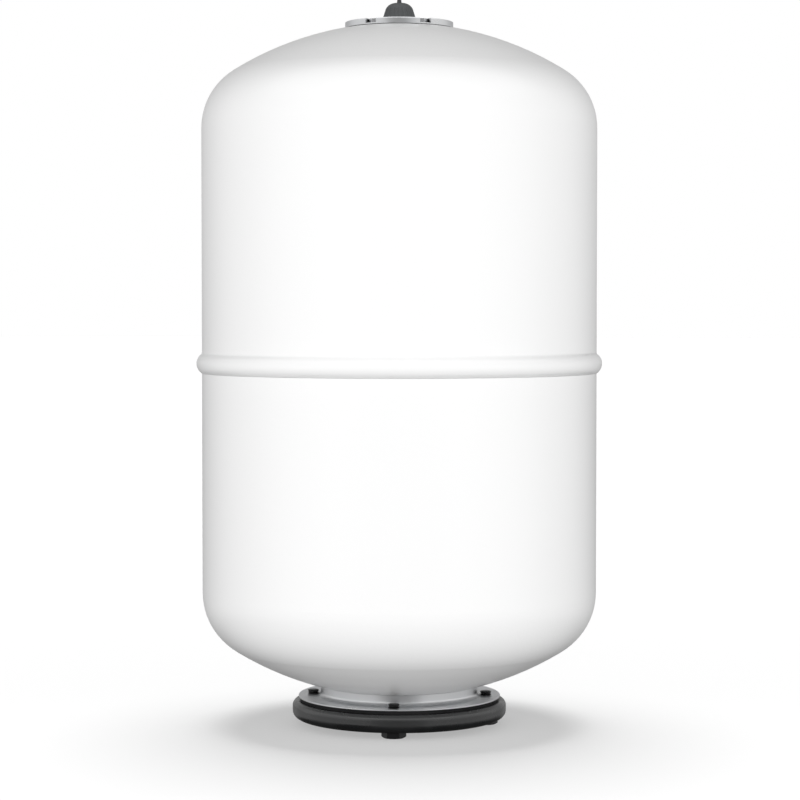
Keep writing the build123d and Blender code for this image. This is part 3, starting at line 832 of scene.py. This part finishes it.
class VESSEL_OT_stage(bpy.types.Operator):
    """Makes the floor, the soft studio light and the camera"""

    bl_idname = "vessel.stage"
    bl_label = "Make the stage"

    def execute(self, context):
        stage = context.scene.vessel_stage
        self.make_floor(context, stage)
        self.make_room(context, stage)
        self.make_camera(context, stage)
        context.scene.view_settings.view_transform = "Standard"
        return {"FINISHED"}

    def make_floor(self, context, stage):
        """A wide lit table, with its own lamp."""
        lit = {
            "Specular IOR Level": 0.05,
            "Roughness": 0.8,
            "Emission Color": (1, 1, 1, 1),
            "Emission Strength": stage.table_glow,
        }
        material, tree, shader = start_material("Pale floor", lit)
        cloud = effect(tree, "Mottle", "Mask", size=0.4, contrast=0.2)
        tint, darker = opaque(stage.floor_colour, 0.3), opaque(stage.floor_colour, 0.298)
        feed(tree, shader, "Base Color", blend_colours(tree, cloud, tint, darker))
        reach = 40 * (CAD_HIGH.z - CAD_LOW.z)
        mesh = bpy.data.meshes.new("studio_floor")
        corners = [(-reach, -reach, 0), (reach, -reach, 0), (reach, reach, 0), (-reach, reach, 0)]
        mesh.from_pydata(corners, [], [(0, 1, 2, 3)])
        mesh.materials.append(material)
        floor = bpy.data.objects.new("studio_floor", mesh)
        context.scene.collection.objects.link(floor)
        floor.location.z = CAD_LOW.z
        floor.visible_diffuse = False
        floor.visible_glossy = False
        self.make_table_lamp(context, stage, floor)

    def make_table_lamp(self, context, stage, floor):
        """The soft lamp over the table, which leans from behind the vessel to the camera."""
        lamp = bpy.data.lights.new("table_lamp", "SUN")
        lamp.energy = stage.table_lamp
        lamp.angle = stage.lamp_width
        light = bpy.data.objects.new("table_lamp", lamp)
        context.scene.collection.objects.link(light)
        beam = -round_the_vessel(stage.camera_turn + math.pi, math.pi / 2 - stage.lamp_tilt)
        light.rotation_euler = beam.to_track_quat("-Z", "Y").to_euler()
        only_floor = bpy.data.collections.new("table_lamp_receivers")
        only_floor.objects.link(floor)
        light.light_linking.receiver_collection = only_floor

    def make_room(self, context, stage):
        """World light: a room for soft light, another for reflections, and a white background."""
        world = bpy.data.worlds.new("studio_room")
        context.scene.world = world
        world.use_nodes = True
        tree = world.node_tree
        background = tree.nodes["Background"]
        direction = tree.nodes.new("ShaderNodeTexCoord").outputs["Generated"]
        height = place(tree, "ShaderNodeSeparateXYZ", {0: direction}).outputs["Z"]
        rays = tree.nodes.new("ShaderNodeLightPath").outputs
        soft = self.soft_room(tree, stage, direction, height)
        shining = self.shining_room(tree, stage, direction, height)
        lit = self.choose(tree, rays["Is Glossy Ray"], soft, shining)
        seen = self.choose(tree, rays["Is Camera Ray"], lit, 1.0)
        tree.links.new(seen, background.inputs["Strength"])
        background.inputs["Color"].default_value = (1, 1, 1, 1)

    def choose(self, tree, which, first, second):
        """First value where a ray isn't of the given kind, second where it is."""
        node = place(tree, "ShaderNodeMix", {0: which, 2: first, 3: second}, data_type="FLOAT")
        return node.outputs[0]

    def soft_room(self, tree, stage, direction, height):
        """A broad panel behind the camera, a dim ceiling and the light from the table."""
        middle = round_the_vessel(stage.camera_turn - math.radians(0.5), stage.panel_lift)
        facing = agreement(tree, direction, middle)
        panel = spread(tree, facing, -0.22, 0.30, stage.room_light, stage.front_light)
        ceiling = spread(tree, height, 0.04, 1.0, panel, stage.ceiling_light)
        return spread(tree, height, -0.413, 0.02, stage.low_light, ceiling)

    def shining_room(self, tree, stage, direction, height):
        """A panel overhead on the camera's side, a paler room and a dark place round the camera."""
        facing = agreement(tree, direction, round_the_vessel(stage.camera_turn, 0))
        back_wall, side_wall, dark_place = 0.5, 0.85, 0.25
        walls = spread(tree, facing, -0.8, -0.3, back_wall, side_wall)
        room = spread(tree, facing, 0.80, 0.97, walls, dark_place)
        back_ceiling, front_ceiling = 0.6, 1.9
        ceiling = spread(tree, facing, -0.45, 0.0, back_ceiling, front_ceiling)
        upper = spread(tree, height, 0.35, 0.75, room, ceiling)
        under_vessel, table_share = 0.05, 0.7
        far_table = calculate(tree, "MULTIPLY", room, table_share)
        table = spread(tree, height, -0.40, -0.20, under_vessel, far_table)
        return spread(tree, height, -0.05, 0.03, table, upper)

    def make_camera(self, context, stage):
        """The camera, looking at the vessel from the front and slightly down."""
        back = round_the_vessel(stage.camera_turn, 0)
        shift = round_the_vessel(stage.camera_turn + math.pi / 2, 0) * stage.aim_right
        aim = shift + Vector((0, 0, stage.aim_height))
        stand = shift + back * stage.camera_distance + Vector((0, 0, stage.camera_height))
        data = bpy.data.cameras.new("studio_camera")
        data.lens = stage.lens
        data.sensor_width = 36
        camera = bpy.data.objects.new("studio_camera", data)
        context.scene.collection.objects.link(camera)
        camera.location = stand
        camera.rotation_euler = (aim - stand).to_track_quat("-Z", "Y").to_euler()
        data.clip_end = 100
        context.scene.camera = camera


OPERATORS = (
    VESSEL_OT_body,
    VESSEL_OT_necks,
    VESSEL_OT_counter_flange,
    VESSEL_OT_flange_bolts,
    VESSEL_OT_water_connection,
    VESSEL_OT_air_valve,
    VESSEL_OT_flange_screws,
    VESSEL_OT_rubber_pieces,
    VESSEL_OT_valve_cap,
    VESSEL_OT_stage,
)


class VESSEL_PT_panel(bpy.types.Panel):
    """The vessel's sizes, colours and steps"""

    bl_idname = "VESSEL_PT_panel"
    bl_label = "Expansion vessel"
    bl_space_type = "VIEW_3D"
    bl_region_type = "UI"
    bl_category = "Vessel"

    def draw(self, context):
        scene = context.scene
        for group in (scene.vessel_finishes, scene.vessel_threads, scene.vessel_stage):
            box = self.layout.box()
            for key in group.__annotations__:
                box.prop(group, key)
        for operator in OPERATORS:
            self.layout.operator(operator.bl_idname)


CLASSES = (VesselFinishes, VesselThreads, VesselStage, *OPERATORS, VESSEL_PT_panel)


def register():
    """Registers the classes and puts the property groups on the scene."""
    for item in CLASSES:
        bpy.utils.register_class(item)
    bpy.types.Scene.vessel_finishes = bpy.props.PointerProperty(type=VesselFinishes)
    bpy.types.Scene.vessel_threads = bpy.props.PointerProperty(type=VesselThreads)
    bpy.types.Scene.vessel_stage = bpy.props.PointerProperty(type=VesselStage)


def unregister():
    """Takes the property groups off the scene and unregisters the classes."""
    del bpy.types.Scene.vessel_stage
    del bpy.types.Scene.vessel_threads
    del bpy.types.Scene.vessel_finishes
    for item in reversed(CLASSES):
        bpy.utils.unregister_class(item)


def main():
    register()
    for operator in OPERATORS:
        group, name = operator.bl_idname.split(".")
        getattr(getattr(bpy.ops, group), name)()


if __name__ == "__main__":
    main()
